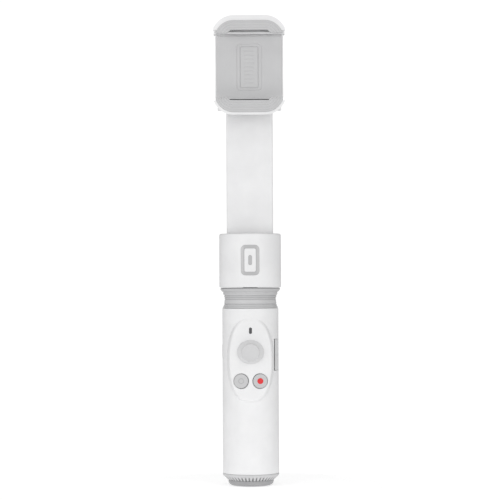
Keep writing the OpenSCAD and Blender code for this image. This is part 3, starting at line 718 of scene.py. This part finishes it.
def collar_shell():
    """The white cylinder, hollow inside, with a pocket for the arm and a generic mark cut in its front."""
    r, z0, z1 = COLLAR_HIGH[0], COLLAR_LOW[2], COLLAR_HIGH[2]
    bore_r, deck = r - 1.5, z0 + 11.1
    path = rounded([(0, deck), (bore_r, deck), (bore_r, z0), (r, z0), (r, z1), (0, z1)],
                   [0, 0, 0.15, 0.5, 1.1, 0], 6)
    obj = as_object("collar_shell_skin", lathe(path, 192))
    pocket = rounded([(-14.2, 131.2), (14.2, 131.2), (14.2, 170), (-14.2, 170)], [0.6, 0.6, 0, 0], 4)
    combine(obj, prism(pocket, 3.8, 30, 0.5, 0), "DIFFERENCE")
    front = [(-12, 131), (12, 131), (12, 148.8), (-12, 148.8)]
    combine(obj, sharp_prism(front, -11, 2.2), "DIFFERENCE")
    combine(obj, box_mesh(-9, 9, -9, 0, 126, 134), "DIFFERENCE")
    glyph = as_object("glyph", glyph_plate(11.06, 18.06, 2.63, -20, -10))
    combine(glyph, glyph_plate(6.74, 13.74, 1.07, -25, -5), "DIFFERENCE")
    combine(glyph, glyph_plate(2.26, 6.06, 1.1, -20, -10), "UNION")
    combine(glyph, lathe([(0, 110), (r - 0.5, 110), (r - 0.5, 160), (0, 160)], 192), "DIFFERENCE")
    merge(obj, glyph, "DIFFERENCE")
    finish_piece(obj, "collar_shell", smooth=32)


# ---------------------------------------------------------------- arm
def arm_path(w, low):
    """A plate's outline: straight sides from low up, and a half circle about the roll axis."""
    n = 40
    top = [(w * math.cos(math.pi * k / n), ROLL_Z + w * math.sin(math.pi * k / n)) for k in range(n + 1)]
    return [(-w, low), (w, low)] + top


def arm():
    """The arm's two shells, hollow inside, with four screw holes in the back."""
    w, low = ARM_HIGH[0], ARM_LOW[2]
    inside = arm_path(w - 1.5, 100)
    obj = as_object("arm_front_skin", prism(arm_path(w, low), ARM_LOW[1], ARM_HIGH[1], 1.2, 0.1, 6))
    combine(obj, sharp_prism(inside, 7.3, 10), "DIFFERENCE")
    finish_piece(obj, "arm_front_shell", smooth=35)
    obj = as_object("arm_back_skin", prism(arm_path(w, low), ARM_BACK_LOW[1], ARM_BACK_HIGH[1], 0.1, 0.9, 5))
    combine(obj, sharp_prism(inside, 8, 10.2), "DIFFERENCE")
    for s in (-1, 1):
        for z in (160, 228):
            hole = [(0, -12.5), (1.9, -12.5), (1.5, -11.2), (1.5, -9), (0, -9)]
            combine(obj, lathe(hole, 32, "-y", (s * 10, 0, z)), "DIFFERENCE")
    finish_piece(obj, "arm_back_shell", smooth=35)


def roll_housing():
    """The cup of the roll motor behind the clamp."""
    path = rounded([(15, -5.95), (15, 2.4), (13.6, 2.4), (13.6, -4.6), (4.4, -4.6), (4.4, 0.8), (3.02, 0.8),
                    (3.02, -4.5), (0, -4.5), (0, -5.95)], [0.3, 0.5, 0.1, 0.2, 0.2, 0.2, 0.1, 0, 0, 0], 4)
    finish_piece(as_object("roll_housing_skin", lathe(path, 128, "-y", (0, 0, ROLL_Z))), "roll_housing")


# ---------------------------------------------------------------- phone clamp
def arc(cx, cz, r, a0, a1, n):
    """n + 1 points on a circle from angle a0 to a1, in degrees."""
    return [(cx + r * math.cos(math.radians(a0 + (a1 - a0) * k / n)),
             cz + r * math.sin(math.radians(a0 + (a1 - a0) * k / n))) for k in range(n + 1)]


TOP, BOTTOM = JAW_HIGH[2], BODY_LOW[2]
UP = (9.0, TOP - 13.4, 13.4)
UP_PAD = (9.3, TOP - 14, 11.0)
DOWN = (9.3, BOTTOM + 12.5, 12.5)
DOWN_PAD = (9.3, BOTTOM + 12.5, 11.0)
UP_X_END, DOWN_X_END, PAD_X_END = 21.1, 21.0, 19.8
LIP_Y, LIP_THICK, LIP_COVER = -21.5, 2.2, 0.7
JAW_PAD_Y, PLATE_FRONT_Y, CLAMP_BACK_Y = -9.5, -8.3, -3
JAW_ROD_X, SPRING_X, JAW_ROD_Y = 14.5, 9.5, -6.2
PAD_MIDDLE_Z = 249.5
UP_PAD_Z = UP_PAD[1] + math.sqrt(UP_PAD[2] ** 2 - (PAD_X_END - UP_PAD[0]) ** 2)
DOWN_LIP_Z, DOWN_PAD_Z = 228.6, 230.9


def upper_edge(shape, x_end, n=22):
    """The upper jaw's edge, from its right end over the top to its left end."""
    cx, cz, r = shape
    a = math.degrees(math.acos((x_end - cx) / r))
    return arc(cx, cz, r, a, 90, n) + arc(-cx, cz, r, 90, 180 - a, n)


def lower_edge(shape, x_end, n=22):
    """The lower jaw's edge, from its left end over the underside to its right end."""
    cx, cz, r = shape
    a = math.degrees(math.acos((x_end - cx) / r))
    return arc(-cx, cz, r, 180 + a, 270, n) + arc(cx, cz, r, 270, 360 - a, n)


def tapered(bm, edge_z, inward):
    """The jaw drawn in towards its back, away from the height edge_z where it stays."""
    for v in bm.verts:
        t = max(0.0, min(1.0, (v.co.y / MM - LIP_Y - 2) / 14))
        share = 1 - inward * t
        v.co.x *= 1 - inward * 0.5 * t
        v.co.z = edge_z * MM + (v.co.z - edge_z * MM) * share
    bmesh.ops.triangulate(bm, faces=bm.faces)
    return bm


def upright_bore(x, r, z0, z1):
    """A hole along Z for a guide rod or a spring."""
    return lathe([(0, z0), (r, z0), (r, z1), (0, z1)], 32, centre=(x, JAW_ROD_Y, 0))


def upper_jaw():
    """The sliding jaw, with a notch below and bores for the guide rods."""
    notch = [(-11.2, 270), (-10.7, 270.6), (10.7, 270.6), (11.2, 270)]
    lip = [(UP_X_END, 270)] + upper_edge(UP, UP_X_END) + [(-UP_X_END, 270)] + notch
    back = [(UP_X_END, 269.1)] + upper_edge(UP, UP_X_END) + [(-UP_X_END, 269.1)]
    obj = as_object("upper_jaw_skin", sharp_prism(lip, LIP_Y, LIP_Y + LIP_THICK))
    combine(obj, sharp_prism(upper_edge(UP, 17.9), LIP_Y + 1, -5), "UNION")
    combine(obj, sharp_prism(back, JAW_PAD_Y, CLAMP_BACK_Y), "UNION")
    soften(obj, 0.55)
    combine(obj, box_mesh(-12.4, 12.4, -11, -4.0, 270.5, 273.6), "DIFFERENCE")
    for s in (-1, 1):
        combine(obj, upright_bore(s * JAW_ROD_X, 1.52, 260, 274), "DIFFERENCE")
    finish_piece(obj, "upper_jaw", smooth=45)


def clamp_body():
    """The fixed lower jaw and the plate behind the pad, with bores for rods and springs."""
    jaw = [(-DOWN_X_END, DOWN_LIP_Z)] + lower_edge(DOWN, DOWN_X_END) + [(DOWN_X_END, DOWN_LIP_Z)]
    half = 20.25
    plate = [(-half, 232), (-16, 227), (16, 227), (half, 232), (half, BODY_HIGH[2]), (-half, BODY_HIGH[2])]
    obj = as_object("clamp_body_skin", tapered(sharp_prism(jaw, LIP_Y, CLAMP_BACK_Y), DOWN_LIP_Z, 0.2))
    combine(obj, box_mesh(-30, 30, LIP_Y + LIP_THICK, JAW_PAD_Y + 0.02, 225.2, 300), "DIFFERENCE")
    combine(obj, box_mesh(-30, 30, JAW_PAD_Y, PLATE_FRONT_Y, 226.6, 300), "DIFFERENCE")
    combine(obj, sharp_prism(plate, PLATE_FRONT_Y, CLAMP_BACK_Y), "UNION")
    soften(obj, 0.5)
    combine(obj, box_mesh(-19.05, 19.05, -4.25, 0, 223.95, 267.05), "DIFFERENCE")
    for s in (-1, 1):
        combine(obj, upright_bore(s * JAW_ROD_X, 1.56, 223.2, 300), "DIFFERENCE")
        combine(obj, upright_bore(s * SPRING_X, 1.75, 226.8, 300), "DIFFERENCE")
    finish_piece(obj, "clamp_body", smooth=45)


def clamp_cover():
    """The cover in the clamp's back."""
    path = rectangle(-19, 19, 224, 267, 0.5, 4)
    finish_piece(as_object("clamp_cover_skin", prism(path, -4.2, CLAMP_BACK_Y, 0.05, 0.35)), "clamp_cover")


def lip_pad(node, outline, normals, inner, first, pitch, rims):
    """A rubber lip whose grooves follow its outer edge, the first at the given depth. It ends at the
    inner path. The rims are plates behind its free edge."""
    bm = bmesh.new()
    step, front, thick, far = 0.16, LIP_Y - LIP_COVER, 0.78, 9.4

    def reach(p, d):
        best = far
        for a, b in zip(inner, inner[1:]):
            a, b = Vector(a), Vector(b)
            e = b - a
            det = d.x * -e.y + e.x * d.y
            if abs(det) < 1e-9:
                continue
            w = a - p
            t = (w.x * -e.y + e.x * w.y) / det
            u = (d.x * w.y - d.y * w.x) / det
            if t > 1e-4 and -1e-4 <= u <= 1 + 1e-4:
                best = min(best, t)
        return best

    cols = []
    count = int(far / step)
    for p, nrm in zip(outline, normals):
        p, nrm = Vector(p), Vector(nrm)
        length = reach(p, nrm)
        col = []
        for k in range(count + 1):
            d = min(k * step, length)
            rim = min(d, length - d)
            drop = 0.3 * max(0.0, 1 - rim / 0.3) ** 2
            wave = 0.5 + 0.5 * math.cos(2 * math.pi * (d - first) / pitch)
            groove = 0.27 * wave ** 3 if 0.4 < d < length - 0.35 else 0
            q = p + nrm * d
            col.append((q, front + drop + groove))
        cols.append(col)
    top = [[bm.verts.new((q.x * MM, y * MM, q.y * MM)) for q, y in col] for col in cols]
    low = [[bm.verts.new((q.x * MM, (front + thick) * MM, q.y * MM)) for q, _ in (col[0], col[-1])]
           for col in cols]
    for a, b, c, d in zip(top, top[1:], low, low[1:]):
        for k in range(count):
            bm.faces.new((a[k], a[k + 1], b[k + 1], b[k]))
        bm.faces.new((a[0], b[0], d[0], c[0]))
        bm.faces.new((a[-1], c[1], d[1], b[-1]))
        bm.faces.new((c[0], d[0], d[1], c[1]))
    for end, flat in ((top[0], low[0]), (top[-1], low[-1])):
        bm.faces.new(list(end) + [flat[1], flat[0]])
    bmesh.ops.remove_doubles(bm, verts=bm.verts, dist=1e-6)
    bmesh.ops.dissolve_degenerate(bm, edges=bm.edges, dist=1e-7)
    for rim in rims:
        add_mesh(bm, prism(rim, LIP_Y - 0.02, LIP_Y + LIP_THICK, 0.0, 0.5, 4))
    bmesh.ops.recalc_face_normals(bm, faces=bm.faces)
    finish_piece(as_object(node + "_skin", bm), node, smooth=60)


def upper_lip_pad():
    """The ridged lip of the upper jaw."""
    cx, cz, r = UP_PAD
    right = upper_edge(UP_PAD, PAD_X_END, 90)[:91]
    flat = [(cx - 2 * cx * k / 16, cz + r) for k in range(1, 16)]
    inward = [((cx - x) / r, (cz - z) / r) for x, z in right]
    outline = right + flat + [(-x, z) for x, z in reversed(right)]
    normals = inward + [(0, -1)] * len(flat) + [(-x, z) for x, z in reversed(inward)]
    low = UP_PAD_Z - 0.02
    inner = [(20.4, low), (13.3, low), (10.9, 270.2), (-10.9, 270.2), (-13.3, low), (-20.4, low)]
    rim = [(11.2, 269.9), (13.3, low), (PAD_X_END - 0.02, low), (PAD_X_END - 0.02, 269.9)]
    rims = [rim, [(-x, z) for x, z in reversed(rim)]]
    lip_pad("upper_lip_pad", outline, normals, inner, 1.3, 1.6, rims)


def lower_lip_pad():
    """The ridged lip of the lower jaw."""
    cx, cz, r = DOWN_PAD
    curve = lower_edge(DOWN_PAD, PAD_X_END, 90)[:91]
    end = curve[0][1]
    side = [(-PAD_X_END, DOWN_PAD_Z - 0.03 - (DOWN_PAD_Z - end) * k / 8) for k in range(8)]
    flat = [(-cx + 2 * cx * k / 16, cz - r) for k in range(1, 16)]
    left = side + curve
    inward = [(1, 0)] * len(side) + [(-(x + cx) / r, (cz - z) / r) for x, z in curve]
    outline = left + flat + [(-x, z) for x, z in reversed(left)]
    normals = inward + [(0, 1)] * len(flat) + [(-x, z) for x, z in reversed(inward)]
    top = DOWN_PAD_Z
    inner = [(-20.4, top), (-13.4, top), (-11.3, 228.9), (11.3, 228.9), (13.4, top), (20.4, top)]
    rim = [(11.2, 228.65), (PAD_X_END - 0.02, 228.65), (PAD_X_END - 0.02, top - 0.02), (13.4, top - 0.02)]
    rims = [rim, [(-x, z) for x, z in reversed(rim)]]
    lip_pad("lower_lip_pad", outline, normals, inner, 1.43, 1.43, rims)


def frame_line(x, z, w, h, r, reach):
    """1 on the outline of a rounded rectangle, falling to 0 at the distance reach from it."""
    qx, qz = abs(x) - (w / 2 - r), abs(z) - (h / 2 - r)
    d = math.hypot(max(qx, 0), max(qz, 0)) + min(max(qx, qz), 0) - r
    return max(0.0, 1 - (abs(d) / reach) ** 2)


def clamp_pad():
    """The rubber pad behind the phone: two embossed frames round a column of plain ribs."""
    (x0, _, z0), (x1, y1, z1) = PAD_LOW, PAD_HIGH
    front, nx, nz = PAD_LOW[1], 220, 230
    cz = PAD_MIDDLE_Z
    column_w, column_h, pitch = 3.1, 10.2, 2.4

    def depth(x, z):
        rim = min(x - x0, x1 - x, z - z0, z1 - z)
        y = front + 0.5 * max(0.0, 1 - rim / 0.6) ** 2
        y += 0.16 * math.exp(-((abs(x) - 15.5) / 3.2) ** 2)
        y += 0.32 * frame_line(x, z - cz, 14.6, 27.8, 2.3, 0.34)
        y += 0.42 * frame_line(x, z - cz, 10.6, 24.5, 0.8, 0.3)
        if abs(x) < column_w and abs(z - cz) < column_h:
            wave = math.cos(2 * math.pi * (z - cz) / pitch)
            y += 0.3 * max(0.0, wave) ** 3 * min(1.0, (column_w - abs(x)) / 0.3)
        return y

    bm = bmesh.new()
    grid = [[bm.verts.new((x * MM, depth(x, z) * MM, z * MM))
             for x in (x0 + (x1 - x0) * i / nx for i in range(nx + 1))]
            for z in (z0 + (z1 - z0) * j / nz for j in range(nz + 1))]
    for a, b in zip(grid, grid[1:]):
        for i in range(nx):
            bm.faces.new((a[i], a[i + 1], b[i + 1], b[i]))
    right, left = [row[-1] for row in grid[1:-1]], [row[0] for row in reversed(grid[1:-1])]
    loop = grid[0] + right + list(reversed(grid[-1])) + left
    behind = [bm.verts.new((v.co.x, y1 * MM, v.co.z)) for v in loop]
    for k in range(len(loop)):
        m = (k + 1) % len(loop)
        bm.faces.new((loop[k], behind[k], behind[m], loop[m]))
    bm.faces.new(behind)
    bmesh.ops.recalc_face_normals(bm, faces=bm.faces)
    obj = as_object("clamp_pad_skin", bm)
    combine(obj, box_mesh(-12.5, 12.5, front - 1, y1 + 1, z0 - 1, 230.5), "DIFFERENCE")
    finish_piece(obj, "clamp_pad", smooth=60)


# ---------------------------------------------------------------- CAD nodes shown as they are
def carry_over():
    """Paints the pieces that are shown as the CAD has them."""
    for name, obj in NODES.items():
        if obj.hide_render:
            continue
        paint(obj, name, 30)


# ---------------------------------------------------------------- floor, light, camera (metres)
FLOOR_R, FLOOR_Z, FLOOR_CORNERS = 0.08, -0.0003, 96
ROOM, ROOM_POLES, ROOM_FRONT, BACKDROP = 0.84, (0, 0, -0.6), (-0.03, -0.35, 0.0), 1.05
LAMP_AIM = (0, 0, 0.15)
CAMERA_AT, CAMERA_ROLL, CAMERA_SHIFT = (0, -1.2, 0.124), 0.275, (-0.0004, 0.056)


def stage():
    """A small round of pale paper under the base."""
    mat, nodes, links, shader = new_material("floor_paper")
    coord = nodes.new("ShaderNodeTexCoord")
    links.new(tint(nodes, links, noise(nodes, links, coord, 30, 3), (0.90, 0.90, 0.90), (0.93, 0.93, 0.93)),
              shader.inputs["Base Color"])
    shader.inputs["Roughness"].default_value = 0.9
    shader.inputs["Emission Color"].default_value = (1, 1, 1, 1)
    shader.inputs["Emission Strength"].default_value = 0.5
    mesh = bpy.data.meshes.new("floor")
    angles = [math.tau * k / FLOOR_CORNERS for k in range(FLOOR_CORNERS)]
    rim = [(FLOOR_R * math.cos(a), FLOOR_R * math.sin(a), FLOOR_Z) for a in angles]
    mesh.from_pydata(rim, [], [tuple(range(FLOOR_CORNERS))])
    mesh.materials.append(mat)
    floor = bpy.data.objects.new("floor", mesh)
    bpy.context.scene.collection.objects.link(floor)


def area_light(name, where, width, height, power):
    lamp = bpy.data.lights.new(name, "AREA")
    lamp.shape = "RECTANGLE"
    lamp.size, lamp.size_y, lamp.energy = width, height, power
    obj = bpy.data.objects.new(name, lamp)
    bpy.context.scene.collection.objects.link(obj)
    obj.location = where
    obj.rotation_euler = (Vector(LAMP_AIM) - Vector(where)).to_track_quat("-Z", "Y").to_euler()


def light():
    """A white room, brightest in front and at eye level, with one soft lamp on each side of the viewer."""
    world = bpy.data.worlds.new("studio")
    bpy.context.scene.world = world
    world.use_nodes = True
    nodes, links = world.node_tree.nodes, world.node_tree.links
    nodes.clear()
    out = nodes.new("ShaderNodeOutputWorld")
    mix = nodes.new("ShaderNodeMixShader")
    path = nodes.new("ShaderNodeLightPath")
    coord = nodes.new("ShaderNodeTexCoord")
    way = coord.outputs["Generated"]
    square = worked(nodes, links, "VectorMath", "MULTIPLY", way, way)
    poles = worked(nodes, links, "VectorMath", "DOT_PRODUCT", square.outputs[0], ROOM_POLES)
    front = worked(nodes, links, "VectorMath", "DOT_PRODUCT", way, ROOM_FRONT)
    level = worked(nodes, links, "Math", "ADD", poles.outputs["Value"], ROOM)
    total = worked(nodes, links, "Math", "ADD", level.outputs[0], front.outputs["Value"])
    fill, seen = nodes.new("ShaderNodeBackground"), nodes.new("ShaderNodeBackground")
    seen.inputs["Strength"].default_value = BACKDROP
    for node in (fill, seen):
        node.inputs["Color"].default_value = (1, 1, 1, 1)
    links.new(total.outputs[0], fill.inputs["Strength"])
    links.new(path.outputs["Is Camera Ray"], mix.inputs[0])
    links.new(fill.outputs[0], mix.inputs[1])
    links.new(seen.outputs[0], mix.inputs[2])
    links.new(mix.outputs[0], out.inputs[0])
    area_light("left_lamp", (-0.75, -1.2, 0.35), 0.35, 0.5, 1.3)
    area_light("right_lamp", (0.75, -1.2, 0.35), 0.3, 0.5, 0.8)


def camera():
    """A long lens straight in front of the object, a little below its middle."""
    cam = bpy.data.cameras.new("camera")
    obj = bpy.data.objects.new("camera", cam)
    bpy.context.scene.collection.objects.link(obj)
    cam.sensor_width = 36
    cam.lens = 144
    cam.shift_x, cam.shift_y = CAMERA_SHIFT
    cam.clip_start, cam.clip_end = 0.05, 50
    obj.location = CAMERA_AT
    obj.rotation_euler = (math.pi / 2, math.radians(CAMERA_ROLL), 0)
    bpy.context.scene.camera = obj


def build():
    base_cap()
    base_ring()
    handle_tube()
    control_panel()
    led_window()
    buttons()
    joystick()
    neck_sleeve()
    collar_shell()
    arm()
    roll_housing()
    upper_jaw()
    clamp_body()
    clamp_cover()
    upper_lip_pad()
    lower_lip_pad()
    clamp_pad()
    carry_over()
    stage()
    light()
    camera()
    bpy.context.scene.view_settings.view_transform = "Standard"


build()
